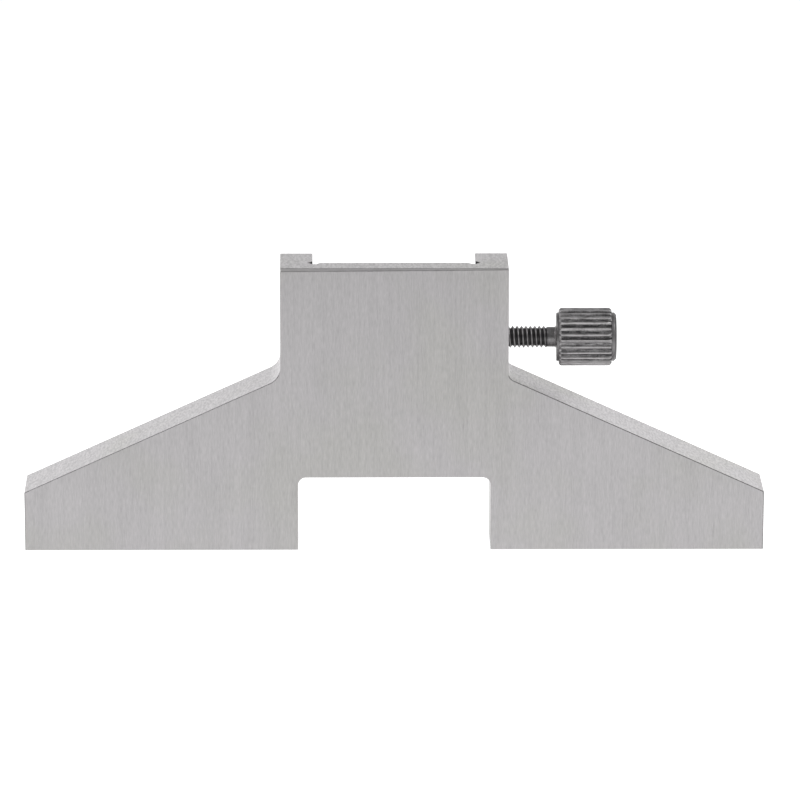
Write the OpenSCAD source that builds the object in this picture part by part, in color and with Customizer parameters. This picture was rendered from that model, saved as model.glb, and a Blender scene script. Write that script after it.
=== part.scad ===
// Depth base for a vernier caliper: a steel bridge plate that clamps on the end of the caliper's beam.
// Millimetres. +X right, +Y from the closed front face to the open back, +Z up.
// The origin is in the measuring plane, midway between the two feet and at mid-thickness of the plate.

/* [Plate] */
// Length of the measuring base, from one foot's end to the other's
base_w = 75; // [60:1:130]
// Height from the measuring plane to the top of the column
body_h = 29.1; // [28:0.1:45]
// Thickness of the plate, front to back
plate_t = 8; // [7.5:0.1:12]
// Height of each foot's upright end
foot_end_h = 6; // [3:0.1:8]
// How far each end leans in from top to bottom
end_draft = 0.06; // [0.02:0.01:0.3]
// Height at which the sloping shoulders would meet the column's sides
shoulder_h = 17.75; // [14:0.05:18]
// Radius where the left shoulder runs into the column
left_fillet_r = 1.8; // [0.5:0.1:2.2]
// Radius where the right shoulder runs into the column, under the thumb screw
right_fillet_r = 0.8; // [0.5:0.1:2.2]

/* [Notch under the column] */
// Width of the notch
notch_w = 19.5; // [17:0.1:30]
// Height of the notch
notch_h = 7.5; // [5:0.1:10]
// Radius in the notch's two upper corners
notch_r = 0.8; // [0.3:0.1:2]

/* [Beam channel] */
// Width of the caliper beam that the channel takes
beam_w = 16; // [12:0.5:20]
// Spare width beside the beam, closed up by the screw
beam_play = 0.5; // [0.2:0.05:1.5]
// Thickness of each rail beside the channel
rail_t = 3.3; // [2.5:0.1:6]
// Thickness of the plate's front wall, in front of the channel
wall_t = 3.1; // [1.5:0.1:3.6]
// Depth of the corner relief into the front wall
relief_d = 0.6; // [0.2:0.05:0.9]
// Width of the corner relief on the channel's floor
relief_w = 0.7; // [0.3:0.05:1]
// How far the corner relief cuts into the rail
relief_out = 0.55; // [0.2:0.05:0.9]
// How far the corner relief reaches up the rail's inner face
relief_up = 1; // [0.6:0.1:1.1]
// Chamfer along the top front edge of the column
top_chamfer = 0.3; // [0.1:0.05:1]

/* [Thumb screw] */
// Height of the screw's axis above the measuring plane
screw_z = 20.9; // [20.8:0.1:24]
// Outside diameter of the thread
thread_d = 2.2; // [1.8:0.05:2.7]
// Pitch of the right-hand thread
pitch = 0.45; // [0.4:0.01:0.55]
// Radial depth of the thread
thread_depth = 0.25; // [0.15:0.01:0.28]
// Gap between the head and the rail when the screw is backed off
exposed = 4.95; // [2:0.05:6]
// Length of the plain neck next to the head
neck_l = 0.85; // [0.3:0.05:1.5]
// How much slimmer the plain neck is than the thread
neck_relief = 0.15; // [0.05:0.05:0.4]
// How much the neck's radius grows where it runs into the head
neck_flare = 0.14; // [0.05:0.01:0.2]
// Diameter of the smooth collar at each end of the head
collar_d = 4.95; // [4:0.05:5.1]
// Length of the smooth collar next to the neck
collar_l = 0.25; // [0.15:0.01:0.8]
// Length of the smooth collar on the head's outer end
end_l = 0.48; // [0.3:0.01:0.8]
// Chamfer round the head's outer end
end_chamfer = 0.2; // [0.05:0.05:0.25]
// Diameter over the knurling
knurl_d = 5.9; // [5.6:0.05:6]
// Length of the knurled band
knurl_l = 5.35; // [3:0.05:8]
// Number of ridges round the knurled band
knurl_n = 28; // [20:1:36]
// How far the grooves are turned round the head, as a share of one ridge's pitch
knurl_phase = 0.32; // [0:0.02:1]
// Depth of the grooves between the ridges
knurl_depth = 0.18; // [0.08:0.01:0.22]
// Chamfer at each end of the knurled band
knurl_chamfer = 0.2; // [0.1:0.05:0.4]

/* [Pressure pad] */
// Thickness of the pad
pad_t = 0.6; // [0.4:0.05:1]
// How far the pad lies back inside its hole when the screw is backed off
pad_recess = 0.1; // [0.05:0.05:0.5]
// Diameter of the pad's stem, which sits in the screw's tip
stem_d = 0.8; // [0.5:0.05:0.8]
// Length of the pad's stem
stem_l = 0.9; // [0.5:0.05:1.5]

/* [Fits] */
// Radial clearance between the thread's crests and the tapped hole's wall
thread_gap = 0.03; // [0.02:0.01:0.08]
// How much smaller the pad's radius is than the thread's root
pad_relief = 0.05; // [0.02:0.01:0.1]
// Radial clearance round the pad's stem
stem_gap = 0.03; // [0.02:0.01:0.06]
// End clearance between the pad and the screw's tip
pad_gap = 0.02; // [0.01:0.01:0.05]
// Countersink at each mouth of the tapped hole
hole_chamfer = 0.15; // [0.05:0.05:0.2]

/* [Hidden] */
$fn = 96;
over = 1;

channel_w = beam_w + beam_play;
column_w = channel_w + 2 * rail_t;
column_x = column_w / 2;
channel_x = channel_w / 2;
front_y = -plate_t / 2;
back_y = plate_t / 2;
floor_y = front_y + wall_t;

// The shoulder's line runs from the top of the foot's end to the column's side.
foot_x = base_w / 2;
shoulder_run = foot_x - column_x;
shoulder_angle = atan((shoulder_h - foot_end_h) / shoulder_run);
// How far a fillet's arc runs under the two faces that it joins.
fillet_dip = 0.001;

// The screw runs along X through the middle of the right rail's depth.
screw_y = (floor_y + back_y) / 2;
hole_r = thread_d / 2 + thread_gap;
head_x = column_x + exposed;
thread_x1 = head_x - neck_l;
pad_x0 = channel_x + pad_recess;
tip_x = pad_x0 + pad_t + pad_gap;
thread_l = thread_x1 - tip_x;
root_r = thread_d / 2 - thread_depth;
neck_r = thread_d / 2 - neck_relief / 2;
pad_r = root_r - pad_relief;

// The knurled band's grooves are round-bottomed, and leave a narrow land on each ridge between two of them.
knurl_r = knurl_d / 2;
ridge_pitch = PI * knurl_d / knurl_n;
ridge_land = 0.16 * ridge_pitch;
groove_half = (ridge_pitch - ridge_land) / 2;
groove_r = (groove_half * groove_half + knurl_depth * knurl_depth) / (2 * knurl_depth);

// Steps round one turn of the thread. Its profile has four corners in each pitch, and each corner gives
// the share of the pitch at which it lies and the share of the thread's depth that it stands proud.
thread_steps = 16;
thread_profile = [[0, 0], [0.36, 1], [0.5, 1], [0.86, 0]];

// One side of the plate's outline from the sole to the column's top, x outwards, with its fillet's radius.
module half_outline(fillet_r) {
    polygon([
        [0, 0],
        [foot_x - end_draft, 0],
        [foot_x, foot_end_h],
        [column_x, shoulder_h],
        [column_x, body_h],
        [0, body_h]
    ]);
    shoulder_fillet(fillet_r);
}

// The corner between the shoulder and the column, filled in up to an arc that touches both of them. The
// filling reaches into the plate, and the arc dips just under both faces, so that it meets each of them
// in one clean edge.
module shoulder_fillet(fillet_r) {
    centre = [column_x + fillet_r, shoulder_h + fillet_r * tan((90 - shoulder_angle) / 2)];
    reach = fillet_r + over;
    inside = centre - reach * [sin(shoulder_angle), cos(shoulder_angle)];
    difference() {
        polygon([[column_x - over, inside[1]], inside, centre, [column_x - over, centre[1]]]);
        translate(centre) circle(r = fillet_r + fillet_dip);
    }
}

// The notch's outline, open below the measuring plane.
module notch_outline() {
    translate([-notch_w / 2, -over]) square([notch_w, notch_h + over - notch_r]);
    translate([notch_r - notch_w / 2, -over]) square([notch_w - 2 * notch_r, notch_h + over]);
    for (side = [-1, 1])
        translate([side * (notch_w / 2 - notch_r), notch_h - notch_r]) circle(r = notch_r);
}

// The relief in the channel's right corner, seen from above, with its corner at the origin.
module relief_outline() {
    polygon([
        [-relief_w, 0],
        [-relief_w / 2, -relief_d],
        [0, -relief_d],
        [relief_out, (relief_up - relief_d) / 2],
        [0, relief_up],
        [-relief_w, relief_up]
    ]);
}

// The channel for the caliper's beam, open at the top, at the back and into the notch.
module beam_channel() {
    low = notch_h - over;
    translate([-channel_x, floor_y, low]) cube([channel_w, back_y - floor_y + over, body_h - low + over]);
    for (side = [0, 1])
        mirror([side, 0, 0])
            translate([channel_x, floor_y, low])
                linear_extrude(body_h - low + over) relief_outline();
}

// The hole for the screw, through the right rail, with a countersink at each mouth.
module screw_hole() {
    translate([channel_x - over, screw_y, screw_z])
        rotate([0, 90, 0]) cylinder(r = hole_r, h = rail_t + 2 * over);
    for (mouth = [[channel_x, 1], [column_x, -1]])
        translate([mouth[0], screw_y, screw_z])
            rotate([0, mouth[1] * 90, 0])
                cylinder(r1 = hole_r + hole_chamfer, r2 = hole_r, h = hole_chamfer);
}

// The plate: two feet, sloping shoulders and a column that the beam slides into from the back.
module base_body() {
    color([0.72, 0.72, 0.70])
    difference() {
        rotate([90, 0, 0])
            linear_extrude(plate_t, center = true)
                for (side = [[0, right_fillet_r], [1, left_fillet_r]])
                    mirror([side[0], 0]) half_outline(side[1]);
        rotate([90, 0, 0])
            linear_extrude(plate_t + 2 * over, center = true) notch_outline();
        beam_channel();
        screw_hole();
        translate([0, front_y, body_h])
            rotate([45, 0, 0])
                cube([column_w + 2 * over, top_chamfer * sqrt(2), top_chamfer * sqrt(2)], center = true);
    }
}

// Radius of the thread at a share of its depth.
function thread_r(share) = root_r + share * thread_depth;

// A right-hand thread along +Z, cut flat at both ends. Every row of points follows the helix, so the
// surface is closed by joining the last column to the first one pitch higher.
module thread(length) {
    rows_per_turn = len(thread_profile);
    turns = ceil(length / pitch) + 2;
    rows = rows_per_turn * turns;
    column_rows = rows + rows_per_turn + 1;
    points = [
        for (i = [0 : thread_steps - 1], j = [0 : column_rows - 1])
            let (
                corner = thread_profile[j % rows_per_turn],
                r = thread_r(corner[1]),
                a = 360 * i / thread_steps,
                z = pitch * (floor(j / rows_per_turn) - 2 + corner[0] + i / thread_steps)
            )
            [r * cos(a), r * sin(a), z]
    ];
    low = len(points);
    high = low + 1;
    ends = [[0, 0, -2 * pitch], [0, 0, pitch * turns]];
    side_faces = [
        for (i = [0 : thread_steps - 1], j = [0 : rows - 1])
            let (
                wrap = i == thread_steps - 1,
                a = i * column_rows + j,
                b = wrap ? j + rows_per_turn : (i + 1) * column_rows + j
            )
            each [[a, a + 1, b + 1], [a, b + 1, b]]
    ];
    end_faces = [
        for (end = [0, 1])
            let (j = end * rows, tip = end == 0 ? low : high)
            each concat(
                [
                    for (i = [0 : thread_steps - 2])
                        turned([tip, i * column_rows + j, (i + 1) * column_rows + j], end)
                ],
                [turned([tip, (thread_steps - 1) * column_rows + j, j + rows_per_turn], end)],
                [for (k = [0 : rows_per_turn - 1]) turned([tip, j + k + 1, j + k], end)]
            )
    ];
    intersection() {
        polyhedron(points = concat(points, ends), faces = concat(side_faces, end_faces), convexity = 10);
        cylinder(r = thread_d, h = length);
    }
}

// A face as it is, or with its points in the other order.
function turned(face, keep) = keep == 1 ? [face[0], face[2], face[1]] : face;

// The knurled band, with straight grooves right along it and a chamfer at each end.
module knurled_band() {
    difference() {
        union() {
            cylinder(r1 = knurl_r - knurl_chamfer, r2 = knurl_r, h = knurl_chamfer);
            translate([0, 0, knurl_chamfer]) cylinder(r = knurl_r, h = knurl_l - 2 * knurl_chamfer);
            translate([0, 0, knurl_l - knurl_chamfer])
                cylinder(r1 = knurl_r, r2 = knurl_r - knurl_chamfer, h = knurl_chamfer);
        }
        for (i = [0 : knurl_n - 1])
            rotate(360 * (i + knurl_phase) / knurl_n)
                translate([knurl_r - knurl_depth + groove_r, 0, -over])
                    cylinder(r = groove_r, h = knurl_l + 2 * over);
    }
}

// The head: the knurled band between two smooth collars, the outer one with its end chamfered.
module head() {
    straight_l = collar_l + knurl_l + end_l - end_chamfer;
    cylinder(d = collar_d, h = straight_l);
    translate([0, 0, straight_l])
        cylinder(r1 = collar_d / 2, r2 = collar_d / 2 - end_chamfer, h = end_chamfer);
    translate([0, 0, collar_l]) knurled_band();
}

// The clamping screw: threaded shank, plain neck and knurled head, turned from one bar.
module thumb_screw() {
    color([0.30, 0.30, 0.31])
    translate([0, screw_y, screw_z])
    rotate([0, 90, 0]) {
        difference() {
            translate([0, 0, tip_x]) thread(thread_l);
            translate([0, 0, tip_x - over])
                cylinder(r = stem_d / 2 + stem_gap, h = stem_l + over + pad_gap);
        }
        translate([0, 0, thread_x1]) cylinder(r = neck_r, h = neck_l);
        translate([0, 0, head_x - neck_flare]) cylinder(r1 = neck_r, r2 = neck_r + neck_flare, h = neck_flare);
        translate([0, 0, head_x]) head();
    }
}

// The brass pad on the screw's tip, which presses on the beam's edge without turning against it.
module pressure_pad() {
    color([0.80, 0.65, 0.35])
    translate([pad_x0, screw_y, screw_z])
    rotate([0, 90, 0]) {
        cylinder(r = pad_r, h = pad_t);
        cylinder(d = stem_d, h = pad_t + stem_l);
    }
}

base_body();
thumb_screw();
pressure_pad();
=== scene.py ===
"""A caliper depth base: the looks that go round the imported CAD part. Metres, +X right, +Y back, +Z up."""

import math
import random

import bmesh
import bpy
from mathutils import Matrix, Vector


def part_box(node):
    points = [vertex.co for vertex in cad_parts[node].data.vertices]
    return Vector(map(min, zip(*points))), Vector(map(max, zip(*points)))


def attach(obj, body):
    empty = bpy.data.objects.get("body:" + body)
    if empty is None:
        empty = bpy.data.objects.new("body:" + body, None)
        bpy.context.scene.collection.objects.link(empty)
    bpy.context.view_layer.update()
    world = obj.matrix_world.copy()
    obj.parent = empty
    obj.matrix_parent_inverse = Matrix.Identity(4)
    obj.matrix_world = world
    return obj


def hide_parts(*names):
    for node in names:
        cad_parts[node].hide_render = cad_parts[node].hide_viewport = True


MM = 0.001

# Camera: where it stands round the object, in metres and degrees, and the lens that frames 800 x 800.
CAMERA_DISTANCE = 0.83
CAMERA_AZIMUTH = -0.667
CAMERA_ELEVATION = 12.305
CAMERA_ROLL = 0.047
CAMERA_TARGET = (0.61 * MM, 0.0, 14.685 * MM)
CAMERA_LENS = 367.6
CAMERA_SENSOR = 36.0
CLIP_NEAR = 0.01
CLIP_FAR = 20.0

# Softboxes: a square one on each side, the same height and power.
SOFTBOX_AZIMUTH = 70
SOFTBOX_ELEVATION = 48
SOFTBOX_DISTANCE = 1.3
SOFTBOX_SIZE = 0.7
SOFTBOX_POWER = 5.0
SOFTBOX_TARGET = (0, 0, 0.01)

# World: its greys, and the directions between which one gives way to the next, by Y and by Z.
WORLD_BACK = 1.1
WORLD_FRONT = 0.4
WORLD_ZENITH = 0.42
BACK_BLEND = (-0.8, 0.8)
ZENITH_BLEND = (0.2, 0.85)

# Floor: white acrylic lit from below, just clear of the soles, its glow centred a little behind them.
FLOOR_HALF = 4.0
FLOOR_BEHIND = 0.05
FLOOR_DROP = 0.01 * MM
FLOOR_GREY = 0.6
FLOOR_ROUGHNESS = 0.9
GLOW_MIDDLE = 0.98
GLOW_EDGE = 0.32
GLOW_REACH = 0.4

# Plate: the break on its sharp edges, and the hand-filed chamfer along the top, narrower on the right.
EDGE_BREAK = 0.07 * MM
SHARP_EDGE = math.radians(30)
CHANNEL_FLOOR_Y = -0.9 * MM
CHAMFER_RIGHT = 0.14 * MM

# The CAD node's mesh is cleaned: points this close become one, and so do faces within this angle.
WELD = 1e-7
FLAT = math.radians(0.5)

# How a face of the plate is told. Its normal's share along an axis says that it looks along the axis,
# stands square to it or leans. The lengths say how far from a plane it lies.
FACING = 0.9
SQUARE = 0.1
LEANING = 0.5
SHOULDER_UP = 0.2
RELIEF_WALL_Y = (0.4, 0.6)
RELIEF_STEP = 0.1 * MM
NEAR = 0.01 * MM

# How a broken edge that gets a painted dark reflection is told: it looks to the front, and up or out at an
# end.
# Within the top band it is the top edge.
EDGE_FRONT = 0.3
EDGE_UP = 0.15
TOP_BAND = 1.0 * MM

# Screw: sizes that the CAD boxes don't give. The thread fills out to just inside its bore, which is
# 1.13 mm in radius.
THREAD_R = 1.12 * MM
THREAD_ROOT_R = 0.89 * MM
PITCH = 0.45 * MM
THREAD_START = 0.25
SPARE_TURNS = 2
RUN_OUT = 0.25 * MM
LEAD_IN = 0.22 * MM
NECK_R = 1.025 * MM
NECK_L = 0.85 * MM
NECK_FLARE = 0.14 * MM
NECK_FLARE_L = 1.5 * NECK_FLARE
STEM_HOLE_R = 0.43 * MM
STEM_HOLE_L = 0.92 * MM
COLLAR_R = 2.475 * MM
COLLAR_L = 0.25 * MM
COLLAR_SOFT = 0.03 * MM
END_L = 0.48 * MM
END_CHAMFER = 0.2 * MM
SHANK_STEPS = 72
BORE_STEPS = 48

# One turn of the thread: each point's share of the pitch, and how proud of the root it stands.
THREAD_SECTION = [
    (0.0, 0.0), (0.09, 0.2), (0.33, 0.92), (0.40, 1.0),
    (0.46, 1.0), (0.53, 0.92), (0.77, 0.2), (0.86, 0.0),
]

# Knurl: its band, and how uneven its ridges are. Dips in the crests and the rings' wear are in mm.
KNURL_L = 5.35 * MM
KNURL_N = 28
KNURL_PHASE = 0.32
KNURL_DEPTH = 0.19 * MM
KNURL_CHAMFER = 0.2 * MM
RIDGE_STEPS = 12
BAND_RINGS = 16
CHAMFER_SHARES = (0.0, 0.4, 0.8, 1.0)
CREST_WIDTH = (0.22, 0.36)
CREST_DIPS = (0.0, 0.03, 0.06)
GROOVE_SHARE = (0.7, 1.0)
GROOVE_STEEPNESS = 1.5
RING_WEAR = (0.0, 0.012)

# Pressure pad.
PAD_R = 0.8 * MM
PAD_T = 0.6 * MM
PAD_BREAK = 0.08 * MM
STEM_R = 0.4 * MM
PAD_STEPS = 64

# In degrees: each piece's edges that are sharper than this stay sharp in its shading.
PLATE_SMOOTH = 60
SCREW_SMOOTH = 40
PAD_SMOOTH = 30

# The plate's finishes, with painted shade in the relief and painted dark reflections on broken edges.
# "along" is the axis that the lines run along; brushed_steel explains the rest.
FINISHES = {
    "ground": {"base": 0.422, "along": "z"},
    "top": {
        "base": 0.52, "along": "y", "roughness": 0.45, "line": 0.05, "depth": 0.002 * MM, "mottle": 0.16,
    },
    "shoulder": {
        "base": 0.665, "along": "y", "roughness": 0.5, "line": 0.05, "depth": 0.002 * MM, "mottle": 0.14,
    },
    "sole": {"base": 0.422, "along": "x", "roughness": 0.25, "line": 0.05},
    "chamfer": {"base": 0.58, "along": "x", "roughness": 0.35, "line": 0.10, "streak": 0.2},
    "milled": {"base": 0.45, "along": "z", "roughness": 0.4, "line": 0.06, "mottle": 0.02},
    # The relief's walls are painted near black: painted shade deep in the recess.
    "relief": {"base": 0.05, "along": "z", "roughness": 0.6, "line": 0.15},
    # These broken edges are painted darker than the faces beside them, as dark reflections: darkest on the
    # right.
    "top_edge_painted_reflection": {"base": 0.45, "along": "x", "roughness": 0.3, "line": 0.15, "streak": 0.2},
    "left_edge_painted_reflection": {"base": 0.21, "along": "x", "roughness": 0.3, "line": 0.25, "streak": 0.3},
    "right_edge_painted_reflection": {"base": 0.12, "along": "x", "roughness": 0.3, "line": 0.15, "streak": 0.2},
}

# Steel's patterns: each one's cycles a metre across the lines and along them, detail, and shift.
STEEL_LINES = {
    "fine": (9000, 1300, 2.0, 0.0),
    "medium": (3600, 260, 3.0, 13.1),
    "broad": (700, 60, 2.0, 5.7),
    "rare": (2600, 190, 2.0, 31.4),
    "grain": (4600, 1300, 3.0, 9.2),
}
LINE_WEIGHTS = {"fine": 0.50, "medium": 0.34, "broad": 0.16}
PATCH_SCALE = (95, 95, 95)
WARM = (1.0, 0.984, 0.968)
COOL = (1.0, 0.974, 0.988)

# Where the values lie that a ramp spreads out: a noise's, and those of a mix of noises or of its peaks.
NOISE_RANGE = (0.35, 0.65)
LINE_RANGE = (0.36, 0.64)
STREAK_RANGE = (0.66, 0.74)
TINT_RANGE = (0.46, 0.66)
ROUGH_RANGE = (0.08, 0.16)
WEAR_RANGE = (0.38, 0.62)
TARNISH_RANGE = (0.4, 0.65)

# Plated screw: the wear's patterns in cycles a metre, and its colours: black in the grooves and, as painted
# shade, on the collars' chamfered edges, and pale on the crests and collars.
WEAR_SCALE = (1100, 2600, 2600)
SPECK_SCALE = (6500, 6500, 6500)
BLACK = (0.060, 0.058, 0.059)
THREAD_PALE = (0.34, 0.331, 0.335)
RIDGE_PALE = (0.44, 0.43, 0.435)
COLLAR_PALE = (0.20, 0.195, 0.198)
RIM_PALE = (0.34, 0.332, 0.336)

# Brass.
RING_SCALE = (16000, 1800, 1800)
TARNISH_SCALE = (1800, 1800, 1800)
BRASS_CLEAN = (0.80, 0.58, 0.26)
BRASS_DULL = (0.55, 0.38, 0.16)
BRASS_DEPTH = 0.004 * MM

random.seed(7)
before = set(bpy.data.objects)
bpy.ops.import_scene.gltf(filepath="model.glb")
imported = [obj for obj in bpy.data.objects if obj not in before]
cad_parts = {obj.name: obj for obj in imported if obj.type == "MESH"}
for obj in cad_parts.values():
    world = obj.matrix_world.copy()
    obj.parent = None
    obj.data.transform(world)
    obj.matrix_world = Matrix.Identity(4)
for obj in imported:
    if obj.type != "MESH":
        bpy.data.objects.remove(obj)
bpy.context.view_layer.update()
scene = bpy.context.scene
scene.view_settings.view_transform = "Standard"


# ---------------------------------------------------------------- shader helpers

def new_material(name):
    """An empty material with its tree, its output and a metallic Principled shader."""
    mat = bpy.data.materials.new(name)
    mat.use_nodes = True
    tree = mat.node_tree
    tree.nodes.clear()
    output = tree.nodes.new("ShaderNodeOutputMaterial")
    shader = tree.nodes.new("ShaderNodeBsdfPrincipled")
    shader.inputs["Metallic"].default_value = 1.0
    tree.links.new(shader.outputs["BSDF"], output.inputs["Surface"])
    return mat, tree, shader


def stretched_noise(tree, scale, detail=3.0, roughness=0.55, offset=(0, 0, 0)):
    """Noise over the piece's own coordinates, with its own scale along each axis (cycles a metre)."""
    coords = tree.nodes.new("ShaderNodeTexCoord")
    mapping = tree.nodes.new("ShaderNodeMapping")
    mapping.inputs["Scale"].default_value = scale
    mapping.inputs["Location"].default_value = offset
    noise = tree.nodes.new("ShaderNodeTexNoise")
    noise.inputs["Scale"].default_value = 1.0
    noise.inputs["Detail"].default_value = detail
    noise.inputs["Roughness"].default_value = roughness
    tree.links.new(coords.outputs["Object"], mapping.inputs["Vector"])
    tree.links.new(mapping.outputs["Vector"], noise.inputs["Vector"])
    return noise.outputs["Fac"]


def ramp(tree, value, low, high, to_low=0.0, to_high=1.0):
    """A value mapped from low..high to to_low..to_high, held at both ends."""
    node = tree.nodes.new("ShaderNodeMapRange")
    node.inputs["From Min"].default_value = low
    node.inputs["From Max"].default_value = high
    node.inputs["To Min"].default_value = to_low
    node.inputs["To Max"].default_value = to_high
    tree.links.new(value, node.inputs["Value"])
    return node.outputs["Result"]


def math_node(tree, kind, a, b):
    """A Math node on two sockets or numbers."""
    node = tree.nodes.new("ShaderNodeMath")
    node.operation = kind
    for socket, value in zip(node.inputs, (a, b)):
        if isinstance(value, (int, float)):
            socket.default_value = value
        else:
            tree.links.new(value, socket)
    return node.outputs["Value"]


def mix_colour(tree, factor, a, b, kind="MIX"):
    """Two colours mixed by a socket or a number. Each colour is a socket or an RGB triple."""
    node = tree.nodes.new("ShaderNodeMix")
    node.data_type = "RGBA"
    node.blend_type = kind
    for key, value in (("Factor", factor), ("A", a), ("B", b)):
        socket = node.inputs[key]
        if isinstance(value, bpy.types.NodeSocket):
            tree.links.new(value, socket)
        elif isinstance(value, (int, float)):
            socket.default_value = value
        else:
            socket.default_value = (*value, 1.0)
    return node.outputs["Result"]


def bump(tree, height, distance):
    """A Bump node over a height socket. A height of 1 stands for this distance."""
    node = tree.nodes.new("ShaderNodeBump")
    node.inputs["Strength"].default_value = 1.0
    node.inputs["Distance"].default_value = distance
    tree.links.new(height, node.inputs["Height"])
    return node.outputs["Normal"]


def combine(tree, pairs):
    """The weighted sum of sockets, each pair a socket and its weight."""
    total = None
    for socket, weight in pairs:
        part = math_node(tree, "MULTIPLY", socket, weight)
        total = part if total is None else math_node(tree, "ADD", total, part)
    return total


# ---------------------------------------------------------------- materials

def steel_lines(tree, along, across, length, detail, shift):
    """Noise drawn out along one axis."""
    scale = [across] * 3
    scale["xyz".index(along)] = length
    return stretched_noise(tree, scale, detail=detail, offset=(shift, shift * 1.7, shift * 0.6))


def steel_shade(tree, noises, line, streak, mottle):
    """How far the steel departs from its grey: lines, rare dark streaks, and blots if there are any."""
    spread = combine(tree, [(noises[kind], weight) for kind, weight in LINE_WEIGHTS.items()])
    shade = ramp(tree, spread, *LINE_RANGE, 1.0 - line, 1.0 + line)
    streaks = ramp(tree, noises["rare"], *STREAK_RANGE, 1.0, 1.0 - streak)
    shade = math_node(tree, "MULTIPLY", shade, streaks)
    if mottle:
        blots = ramp(tree, noises["grain"], *NOISE_RANGE, 1.0 - mottle, 1.0 + mottle)
        shade = math_node(tree, "MULTIPLY", shade, blots)
    return shade


def brushed_steel(
    name, base, along, roughness=0.42, line=0.125, depth=0.006 * MM, streak=0.09, mottle=0.0
):
    """Ground steel of a base grey. Its lines run along an axis, to a depth. Lines, streaks and mottle each
    vary the grey by a share of it."""
    mat, tree, shader = new_material(name)
    noises = {kind: steel_lines(tree, along, *pattern) for kind, pattern in STEEL_LINES.items()}
    patches = stretched_noise(tree, PATCH_SCALE, detail=2.0, offset=(3.3, 1.1, 7.9))

    shade = steel_shade(tree, noises, line, streak, mottle)
    tint = mix_colour(tree, ramp(tree, patches, *TINT_RANGE), COOL, WARM)
    grey = mix_colour(tree, 1.0, tint, (base, base, base), "MULTIPLY")
    combined = tree.nodes.new("ShaderNodeCombineColor")
    for channel in ("Red", "Green", "Blue"):
        tree.links.new(shade, combined.inputs[channel])
    colour = mix_colour(tree, 1.0, grey, combined.outputs["Color"], "MULTIPLY")
    tree.links.new(colour, shader.inputs["Base Color"])

    rough = combine(tree, [(noises["medium"], 0.14), (patches, 0.10)])
    rough = ramp(tree, rough, *ROUGH_RANGE, roughness - 0.06, roughness + 0.06)
    tree.links.new(rough, shader.inputs["Roughness"])
    heights = [(noises["fine"], 0.5), (noises["medium"], 0.8), (noises["grain"], mottle * 4)]
    height = combine(tree, heights)
    tree.links.new(bump(tree, height, depth), shader.inputs["Normal"])
    return mat


def radius_about(tree, centre):
    """The distance from the screw's axis, as a socket."""
    coords = tree.nodes.new("ShaderNodeTexCoord")
    place = tree.nodes.new("ShaderNodeVectorMath")
    place.operation = "SUBTRACT"
    place.inputs[1].default_value = (0.0, centre.y, centre.z)
    flat = tree.nodes.new("ShaderNodeVectorMath")
    flat.operation = "MULTIPLY"
    flat.inputs[1].default_value = (0.0, 1.0, 1.0)
    length = tree.nodes.new("ShaderNodeVectorMath")
    length.operation = "LENGTH"
    tree.links.new(coords.outputs["Object"], place.inputs[0])
    tree.links.new(place.outputs["Vector"], flat.inputs[0])
    tree.links.new(flat.outputs["Vector"], length.inputs[0])
    return length.outputs["Value"]


def dark_nickel(name, centre, inner, outer, pale, lines, roughness, depth, patchy=0.25):
    """Dark plate, black at the inner radius and pale at the outer one, with drawn lines."""
    mat, tree, shader = new_material(name)
    outward = ramp(tree, radius_about(tree, centre), inner, outer)
    drawn = stretched_noise(tree, lines, detail=2.0)
    wear = stretched_noise(tree, WEAR_SCALE, detail=4.0, roughness=0.65, offset=(4.0, 2.0, 1.0))
    speck = stretched_noise(tree, SPECK_SCALE, detail=3.0, offset=(8.0, 3.0, 6.0))
    uneven = combine(tree, [(wear, 0.4), (speck, 0.25), (drawn, 0.35)])
    uneven = ramp(tree, uneven, *WEAR_RANGE, -patchy, patchy)
    # Black at the inner radius, pale at the outer one, varied at random; on the collars the black is
    # painted shade.
    worn = ramp(tree, math_node(tree, "ADD", outward, uneven), 0.0, 1.0)
    tree.links.new(mix_colour(tree, worn, BLACK, pale), shader.inputs["Base Color"])
    rough = ramp(tree, wear, *NOISE_RANGE, roughness - 0.08, roughness + 0.1)
    tree.links.new(rough, shader.inputs["Roughness"])
    height = combine(tree, [(drawn, 0.6), (speck, 0.4)])
    tree.links.new(bump(tree, height, depth), shader.inputs["Normal"])
    return mat


def turned_brass(name):
    """Plain turned brass, tarnished in places."""
    mat, tree, shader = new_material(name)
    rings = stretched_noise(tree, RING_SCALE, detail=2.0)
    tarnish = stretched_noise(tree, TARNISH_SCALE, detail=3.0, offset=(1.0, 5.0, 2.0))
    colour = mix_colour(tree, ramp(tree, tarnish, *TARNISH_RANGE), BRASS_CLEAN, BRASS_DULL)
    tree.links.new(colour, shader.inputs["Base Color"])
    tree.links.new(ramp(tree, tarnish, *NOISE_RANGE, 0.25, 0.42), shader.inputs["Roughness"])
    tree.links.new(bump(tree, rings, BRASS_DEPTH), shader.inputs["Normal"])
    return mat


# ---------------------------------------------------------------- mesh helpers

def make_object(name, mesh, materials):
    """A mesh put into the scene with its materials."""
    obj = bpy.data.objects.new(name, mesh)
    scene.collection.objects.link(obj)
    for mat in materials:
        mesh.materials.append(mat)
    return obj


def grid_mesh(name, rings):
    """A closed surface through rings of points, all of the same count, with a flat cap at each end."""
    count = len(rings[0])
    points = [p for ring in rings for p in ring]
    faces = []
    for k in range(len(rings) - 1):
        for i in range(count):
            j = (i + 1) % count
            faces.append((k * count + i, k * count + j, (k + 1) * count + j, (k + 1) * count + i))
    faces.append(tuple(reversed(range(count))))
    faces.append(tuple(range((len(rings) - 1) * count, len(rings) * count)))
    mesh = bpy.data.meshes.new(name)
    mesh.from_pydata(points, [], faces)
    mesh.update()
    return mesh


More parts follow.
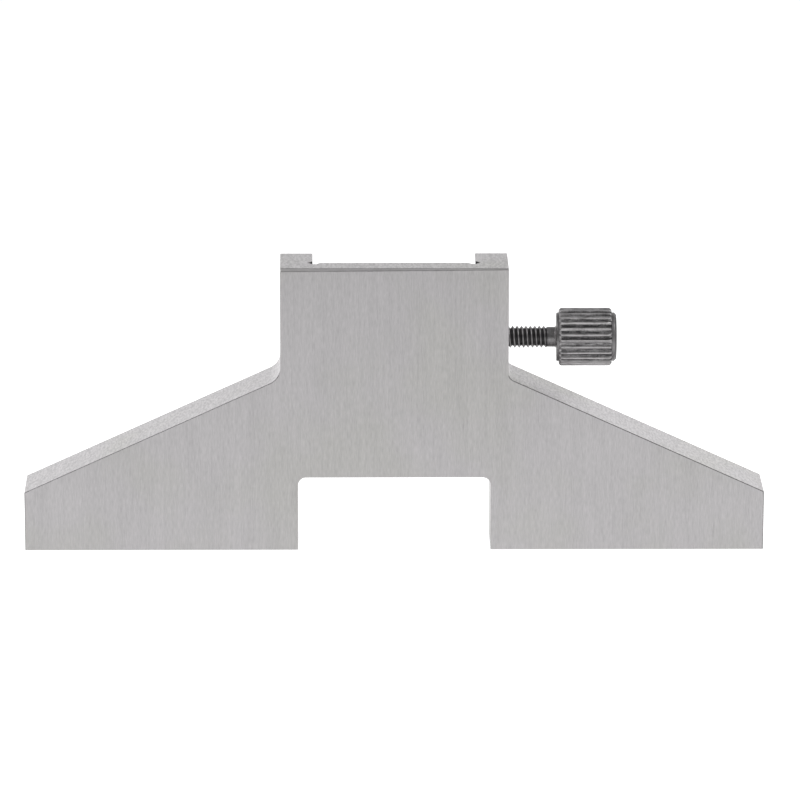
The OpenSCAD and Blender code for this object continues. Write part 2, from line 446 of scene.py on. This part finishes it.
def smooth_shading(obj, degrees):
    """Smooth shading that keeps the large faces flat, and keeps edges sharper than the angle."""
    for poly in obj.data.polygons:
        poly.use_smooth = True
    bm = bmesh.new()
    bm.from_mesh(obj.data)
    for edge in bm.edges:
        edge.smooth = len(edge.link_faces) == 2 and edge.calc_face_angle() < math.radians(degrees)
    bm.to_mesh(obj.data)
    bm.free()
    weighted = obj.modifiers.new("weighted_normals", "WEIGHTED_NORMAL")
    weighted.keep_sharp = True


def boolean(obj, operation, tool):
    """Joins a second object to the first or cuts it out of it, in place. The second one is used up."""
    step = obj.modifiers.new("boolean", "BOOLEAN")
    step.operation = operation
    step.object = tool
    step.solver = "EXACT"
    graph = bpy.context.evaluated_depsgraph_get()
    mesh = bpy.data.meshes.new_from_object(obj.evaluated_get(graph))
    obj.modifiers.clear()
    obj.data = mesh
    bpy.data.objects.remove(tool)


def along_x(x, r, angle, centre):
    """A point at radius r and angle about the screw's axis."""
    return (x, centre.y + r * math.cos(angle), centre.z + r * math.sin(angle))


def lathe_rings(profile, centre, steps):
    """Rings of a turned shape, from (x, r) pairs."""
    return [[along_x(x, r, 2 * math.pi * i / steps, centre) for i in range(steps)] for x, r in profile]


# ---------------------------------------------------------------- plate

def is_chamfer(face):
    """Whether a face is the chamfer along the column's top: it leans up and to the front."""
    return face.normal.z > LEANING and face.normal.y < -LEANING


def plate_finish(face, top):
    """Which of the plate's finishes a face has, from where it lies and which way it looks."""
    n, c = face.normal, face.calc_center_median()
    # Faces looking back from deep inside the relief, and the relief's leaning walls, get its painted shade.
    if n.y > FACING and c.y < 0:
        return "relief" if c.y < CHANNEL_FLOOR_Y - RELIEF_STEP else "milled"
    if abs(n.y) > FACING:
        return "ground"
    if abs(n.x) > LEANING and RELIEF_WALL_Y[0] < abs(n.y) < RELIEF_WALL_Y[1] and abs(n.z) < SQUARE:
        return "relief"
    if n.z > FACING and c.z > top - NEAR:
        return "top"
    if n.z > SHOULDER_UP and abs(n.y) < SQUARE:
        return "shoulder"
    if n.z < -FACING and c.z < NEAR:
        return "sole"
    return "chamfer" if is_chamfer(face) else "milled"


def broken_edge(edge, hole):
    """Whether an edge is a sharp one that gets its break. Those of the screw hole's mouths don't."""
    if len(edge.link_faces) != 2 or edge.calc_face_angle() < SHARP_EDGE:
        return False
    middle = (edge.verts[0].co + edge.verts[1].co) / 2
    from_axis = math.hypot(middle.y - hole.y, middle.z - hole.z)
    return not (middle.x > 0 and from_axis < 2 * THREAD_R)


def edge_finish(face, low, high):
    """The painted dark reflection of a broken edge where it has one: along the front's top, shoulders and
    ends.
    """
    middle = face.calc_center_median()
    at_end = min(middle.x - low.x, high.x - middle.x) < 2 * EDGE_BREAK
    if face.normal.y > -EDGE_FRONT or not (face.normal.z > EDGE_UP or at_end):
        return None
    if middle.z > high.z - TOP_BAND:
        return "top_edge_painted_reflection"
    return "left_edge_painted_reflection" if middle.x < 0 else "right_edge_painted_reflection"


def taper_chamfer(bm, top, front):
    """Narrows the right end of the chamfer along the column's top."""
    for face in filter(is_chamfer, bm.faces):
        for vert in face.verts:
            if vert.co.x > 0 and vert.co.z < top - NEAR:
                vert.co.z = top - CHAMFER_RIGHT
            elif vert.co.x > 0:
                vert.co.y = front + CHAMFER_RIGHT


def break_edges(bm, hole, low, high):
    """Gives the plate's sharp edges a small rounded break, and some of the breaks a painted dark
    reflection.
    """
    finishes = list(FINISHES)
    edges = [edge for edge in bm.edges if broken_edge(edge, hole)]
    made = bmesh.ops.bevel(
        bm, geom=edges, offset=EDGE_BREAK, offset_type="OFFSET", segments=2, profile=0.5,
        affect="EDGES", clamp_overlap=False, material=-1,
    )
    for face in made["faces"]:
        finish = edge_finish(face, low, high)
        if finish:
            face.material_index = finishes.index(finish)


def steel_plate(node):
    """The plate: the CAD node's own shape, with its sharp edges broken and a finish for each face."""
    low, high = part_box(node)
    screw_low, screw_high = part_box("thumb_screw")
    finishes = list(FINISHES)
    bm = bmesh.new()
    bm.from_mesh(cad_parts[node].data)
    bmesh.ops.remove_doubles(bm, verts=bm.verts, dist=WELD)
    bmesh.ops.dissolve_limit(bm, angle_limit=FLAT, verts=bm.verts, edges=bm.edges)
    bmesh.ops.recalc_face_normals(bm, faces=bm.faces)
    for face in bm.faces:
        face.material_index = finishes.index(plate_finish(face, high.z))
    taper_chamfer(bm, high.z, low.y)
    break_edges(bm, (screw_low + screw_high) / 2, low, high)
    mesh = bpy.data.meshes.new("steel_plate")
    bm.to_mesh(mesh)
    bm.free()
    looks = [brushed_steel("steel_" + name, **finish) for name, finish in FINISHES.items()]
    obj = make_object("steel_plate", mesh, looks)
    smooth_shading(obj, PLATE_SMOOTH)
    return obj


# ---------------------------------------------------------------- screw

def shank_radius(x, proud, tip_x, neck_x, head_x):
    """Radius of the shank at x, where the thread stands proud by a share of its depth."""
    r = THREAD_ROOT_R + proud * (THREAD_R - THREAD_ROOT_R)
    lead = THREAD_R - max(0.0, tip_x + LEAD_IN - x)
    r = min(r, lead)
    faded = min(1.0, max(0.0, (x - neck_x + RUN_OUT) / RUN_OUT))
    r += (NECK_R - r) * faded
    flare = min(1.0, max(0.0, (x - head_x + NECK_FLARE_L) / NECK_FLARE_L))
    return r + NECK_FLARE * flare * flare


def thread_skin(tip_x, neck_x, head_x, end_x, centre):
    """Points and faces of the shank's open skin, whose rows follow the right-hand helix."""
    per_turn = len(THREAD_SECTION)
    rows = per_turn * (int((end_x - tip_x) / PITCH) + 2 * SPARE_TURNS)
    per_column = rows + per_turn + 1
    points = []
    for i in range(SHANK_STEPS):
        for j in range(per_column):
            share, proud = THREAD_SECTION[j % per_turn]
            x = tip_x + PITCH * (j // per_turn - SPARE_TURNS + share + THREAD_START + i / SHANK_STEPS)
            r = shank_radius(x, proud, tip_x, neck_x, head_x)
            points.append(along_x(x, r, 2 * math.pi * i / SHANK_STEPS, centre))
    faces = []
    for i in range(SHANK_STEPS):
        for j in range(rows):
            a = i * per_column + j
            # The last column meets the first one a turn further along.
            b = j + per_turn if i == SHANK_STEPS - 1 else (i + 1) * per_column + j
            faces.append((a, b, b + 1, a + 1))
    return points, faces


def shank_mesh(tip_x, head_x, centre):
    """The threaded shank and its neck, cut flat at the tip and inside the head, and closed there."""
    end_x = head_x + COLLAR_L / 2
    points, faces = thread_skin(tip_x, head_x - NECK_L, head_x, end_x, centre)
    mesh = bpy.data.meshes.new("shank")
    mesh.from_pydata(points, [], faces)
    bm = bmesh.new()
    bm.from_mesh(mesh)
    for x, side in ((tip_x, -1), (end_x, 1)):
        geom = bm.verts[:] + bm.edges[:] + bm.faces[:]
        bmesh.ops.bisect_plane(bm, geom=geom, plane_co=(x, 0, 0), plane_no=(side, 0, 0), clear_outer=True)
    bmesh.ops.holes_fill(bm, edges=[edge for edge in bm.edges if edge.is_boundary], sides=0)
    bmesh.ops.recalc_face_normals(bm, faces=bm.faces)
    bm.to_mesh(mesh)
    bm.free()
    return mesh


def groove_depths():
    """How deep the knurling is cut at each step round the head: rounded grooves between uneven ridges."""
    widths = [random.uniform(*CREST_WIDTH) for _ in range(KNURL_N)]
    dips = [random.choice(CREST_DIPS) * MM for _ in range(KNURL_N)]
    lows = [random.uniform(*GROOVE_SHARE) * KNURL_DEPTH for _ in range(KNURL_N)]
    depths = []
    for ridge in range(KNURL_N):
        for step in range(RIDGE_STEPS):
            out = abs(step / RIDGE_STEPS - 0.5) * 2
            if out < widths[ridge]:
                depth = dips[ridge] * (1 - out / widths[ridge])
            else:
                fall = (out - widths[ridge]) / (1 - widths[ridge])
                side = ridge if step < RIDGE_STEPS / 2 else (ridge + 1) % KNURL_N
                depth = lows[side] * math.sin(min(1.0, GROOVE_STEEPNESS * fall) * math.pi / 2)
            depths.append(depth)
    return depths


def knurl_span(head_x):
    """Where the knurled band starts and ends along the axis."""
    return head_x + COLLAR_L, head_x + COLLAR_L + KNURL_L


def head_profile(head_x, knurl_r):
    """The head's (x, r, grooved) points: a collar, the chamfered knurled band, and a chamfered collar."""
    start, end = knurl_span(head_x)
    end_x = end + END_L
    soft = COLLAR_SOFT
    foot = knurl_r - KNURL_CHAMFER
    flat = KNURL_L - 2 * KNURL_CHAMFER
    profile = [(head_x, COLLAR_R - 2 * soft, False), (head_x + 0.6 * soft, COLLAR_R - 0.6 * soft, False)]
    profile += [(head_x + 2 * soft, COLLAR_R, False), (start, COLLAR_R, False)]
    for share in CHAMFER_SHARES:
        profile.append((start + KNURL_CHAMFER * share, foot + KNURL_CHAMFER * share, True))
    for k in range(1, BAND_RINGS):
        profile.append((start + KNURL_CHAMFER + flat * k / BAND_RINGS, knurl_r, True))
    for share in reversed(CHAMFER_SHARES):
        profile.append((end - KNURL_CHAMFER * share, foot + KNURL_CHAMFER * share, True))
    profile += [(end, COLLAR_R, False), (end_x - END_CHAMFER - soft, COLLAR_R, False)]
    profile += [(end_x - END_CHAMFER, COLLAR_R - 0.4 * soft, False)]
    profile += [(end_x - 0.4 * soft, COLLAR_R - END_CHAMFER, False)]
    profile += [(end_x, COLLAR_R - END_CHAMFER - soft, False)]
    return profile


def head_rings(head_x, centre, knurl_r):
    """Rings of the head, with the knurling cut into those of its band."""
    profile = head_profile(head_x, knurl_r)
    depths = groove_depths()
    steps = KNURL_N * RIDGE_STEPS
    rings = []
    for x, r, grooved in profile:
        worn = random.uniform(*RING_WEAR) * MM
        ring = []
        for i in range(steps):
            here = max(COLLAR_R, min(r, knurl_r - worn - depths[i])) if grooved else r
            ring.append(along_x(x, here, 2 * math.pi * (i / steps + KNURL_PHASE / KNURL_N), centre))
        rings.append(ring)
    return rings


def screw_finish(x, head_x):
    """Which of the screw's looks a face has, from where it lies along the axis."""
    start, end = knurl_span(head_x)
    if x < head_x - NEAR:
        return "thread"
    if start - NEAR < x < start + KNURL_CHAMFER:
        return "rim"
    return "knurl" if start < x < end - NEAR else "collar"


def screw_looks(centre, knurl_r):
    """The screw's looks. Each is black at one radius and pale at another; on the collars the black is
    painted shade on the chamfered edges.
    """
    thread = dark_nickel(
        "dark_nickel_thread", centre, THREAD_ROOT_R + 0.03 * MM, THREAD_R, THREAD_PALE,
        lines=(14000, 1400, 1400), roughness=0.36, depth=0.004 * MM,
    )
    knurl = dark_nickel(
        "dark_nickel_knurl", centre, knurl_r - KNURL_DEPTH, knurl_r - 0.02 * MM, RIDGE_PALE,
        lines=(800, 9000, 9000), roughness=0.38, depth=0.010 * MM, patchy=0.42,
    )
    # The collars darken to black on their chamfered edges: painted shade.
    collar = dark_nickel(
        "dark_nickel_collar_painted_edge_shade", centre, COLLAR_R - 0.7 * END_CHAMFER, COLLAR_R, COLLAR_PALE,
        lines=(16000, 1500, 1500), roughness=0.4, depth=0.005 * MM,
    )
    rim = dark_nickel(
        "dark_nickel_rim", centre, COLLAR_R - 0.3 * MM, COLLAR_R + 0.05 * MM, RIM_PALE,
        lines=(3000, 3000, 3000), roughness=0.4, depth=0.006 * MM,
    )
    return {"thread": thread, "knurl": knurl, "collar": collar, "rim": rim}


def thumb_screw(node):
    """The clamping screw: a real helical thread, a plain neck and a knurled head, as one piece."""
    low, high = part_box(node)
    centre = (low + high) / 2
    knurl_r = (high.z - low.z) / 2
    head_x = high.x - END_L - KNURL_L - COLLAR_L
    screw = make_object("plated_screw", grid_mesh("head", head_rings(head_x, centre, knurl_r)), [])
    shank = make_object("shank", shank_mesh(low.x, head_x, centre), [])
    boolean(screw, "UNION", shank)
    bore_ends = [(low.x - STEM_HOLE_L, STEM_HOLE_R), (low.x + STEM_HOLE_L, STEM_HOLE_R)]
    bore = make_object("bore", grid_mesh("bore", lathe_rings(bore_ends, centre, BORE_STEPS)), [])
    boolean(screw, "DIFFERENCE", bore)
    screw.data.name = "plated_screw"
    screw.data.materials.clear()
    looks = screw_looks(centre, knurl_r)
    for look in looks.values():
        screw.data.materials.append(look)
    finishes = list(looks)
    for poly in screw.data.polygons:
        poly.material_index = finishes.index(screw_finish(poly.center.x, head_x))
    smooth_shading(screw, SCREW_SMOOTH)
    return screw


# ---------------------------------------------------------------- pad

def pressure_pad(node):
    """The brass pad on the screw's tip, with its edges broken."""
    low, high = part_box(node)
    centre = (low + high) / 2
    b = PAD_BREAK
    face_x = low.x + PAD_T
    profile = [
        (low.x, PAD_R - 2 * b), (low.x + 0.3 * b, PAD_R - 0.7 * b), (low.x + b, PAD_R),
        (face_x - 0.3 * b, PAD_R), (face_x, PAD_R - 0.3 * b), (face_x, STEM_R),
        (high.x - b, STEM_R), (high.x, STEM_R - b),
    ]
    mesh = grid_mesh("brass_pad", lathe_rings(profile, centre, PAD_STEPS))
    pad = make_object("brass_pad", mesh, [turned_brass("brass")])
    smooth_shading(pad, PAD_SMOOTH)
    return pad


# ---------------------------------------------------------------- studio

def look_from(distance, azimuth, elevation, target, roll=0.0):
    """The world matrix of a camera or lamp that looks at the target from round and above it."""
    a, e = math.radians(azimuth), math.radians(elevation)
    back = Vector((math.sin(a) * math.cos(e), -math.cos(a) * math.cos(e), math.sin(e)))
    turn = (-back).to_track_quat("-Z", "Y").to_matrix().to_4x4()
    place = Matrix.Translation(Vector(target) + back * distance)
    return place @ turn @ Matrix.Rotation(math.radians(roll), 4, "Z")


def add_camera():
    """The camera at the photo's angle."""
    data = bpy.data.cameras.new("camera")
    data.lens = CAMERA_LENS
    data.sensor_width = CAMERA_SENSOR
    data.clip_start = CLIP_NEAR
    data.clip_end = CLIP_FAR
    camera = bpy.data.objects.new("camera", data)
    scene.collection.objects.link(camera)
    camera.matrix_world = look_from(
        CAMERA_DISTANCE, CAMERA_AZIMUTH, CAMERA_ELEVATION, CAMERA_TARGET, CAMERA_ROLL
    )
    scene.camera = camera


def add_softbox(name, azimuth):
    """A square soft light aimed at the object, which the camera doesn't see."""
    data = bpy.data.lights.new(name, "AREA")
    data.shape = "SQUARE"
    data.size = SOFTBOX_SIZE
    data.energy = SOFTBOX_POWER
    lamp = bpy.data.objects.new(name, data)
    scene.collection.objects.link(lamp)
    lamp.matrix_world = look_from(SOFTBOX_DISTANCE, azimuth, SOFTBOX_ELEVATION, SOFTBOX_TARGET)
    lamp.visible_camera = False


def add_world():
    """A plain studio all round: bright behind, greyer in front and overhead, and white to the camera."""
    world = bpy.data.worlds.new("studio")
    scene.world = world
    world.use_nodes = True
    tree = world.node_tree
    background = tree.nodes["Background"]
    coords = tree.nodes.new("ShaderNodeTexCoord")
    split = tree.nodes.new("ShaderNodeSeparateXYZ")
    tree.links.new(coords.outputs["Generated"], split.inputs["Vector"])
    behind = ramp(tree, split.outputs["Y"], *BACK_BLEND)
    horizon = mix_colour(tree, behind, (WORLD_FRONT,) * 3, (WORLD_BACK,) * 3)
    overhead = ramp(tree, split.outputs["Z"], *ZENITH_BLEND)
    sky = mix_colour(tree, overhead, horizon, (WORLD_ZENITH,) * 3)
    path = tree.nodes.new("ShaderNodeLightPath")
    seen = mix_colour(tree, path.outputs["Is Camera Ray"], sky, (1.0, 1.0, 1.0))
    tree.links.new(seen, background.inputs["Color"])


def lit_table(name):
    """White acrylic lit from below: its glow falls from the middle to the edge over its reach."""
    mat, tree, shader = new_material(name)
    shader.inputs["Metallic"].default_value = 0.0
    shader.inputs["Roughness"].default_value = FLOOR_ROUGHNESS
    shader.inputs["Base Color"].default_value = (FLOOR_GREY, FLOOR_GREY, FLOOR_GREY, 1.0)
    coords = tree.nodes.new("ShaderNodeTexCoord")
    length = tree.nodes.new("ShaderNodeVectorMath")
    length.operation = "LENGTH"
    tree.links.new(coords.outputs["Object"], length.inputs[0])
    glow = ramp(tree, length.outputs["Value"], 0.0, GLOW_REACH, GLOW_MIDDLE, GLOW_EDGE)
    shader.inputs["Emission Color"].default_value = (1.0, 1.0, 1.0, 1.0)
    tree.links.new(glow, shader.inputs["Emission Strength"])
    return mat


def add_floor():
    """The floor, as staging."""
    half = FLOOR_HALF
    mesh = bpy.data.meshes.new("floor")
    corners = [(-half, -half, 0), (half, -half, 0), (half, half, 0), (-half, half, 0)]
    mesh.from_pydata(corners, [], [(0, 1, 2, 3)])
    floor = make_object("floor", mesh, [lit_table("lit_table")])
    floor.location = (0, FLOOR_BEHIND, -FLOOR_DROP)


# ---------------------------------------------------------------- build

add_camera()
add_world()
add_softbox("left_softbox", -SOFTBOX_AZIMUTH)
add_softbox("right_softbox", SOFTBOX_AZIMUTH)
add_floor()

plate = steel_plate("base_body")
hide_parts("base_body")
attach(plate, "base")

screw = thumb_screw("thumb_screw")
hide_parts("thumb_screw")
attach(screw, "screw")

pad = pressure_pad("pressure_pad")
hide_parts("pressure_pad")
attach(pad, "pad")
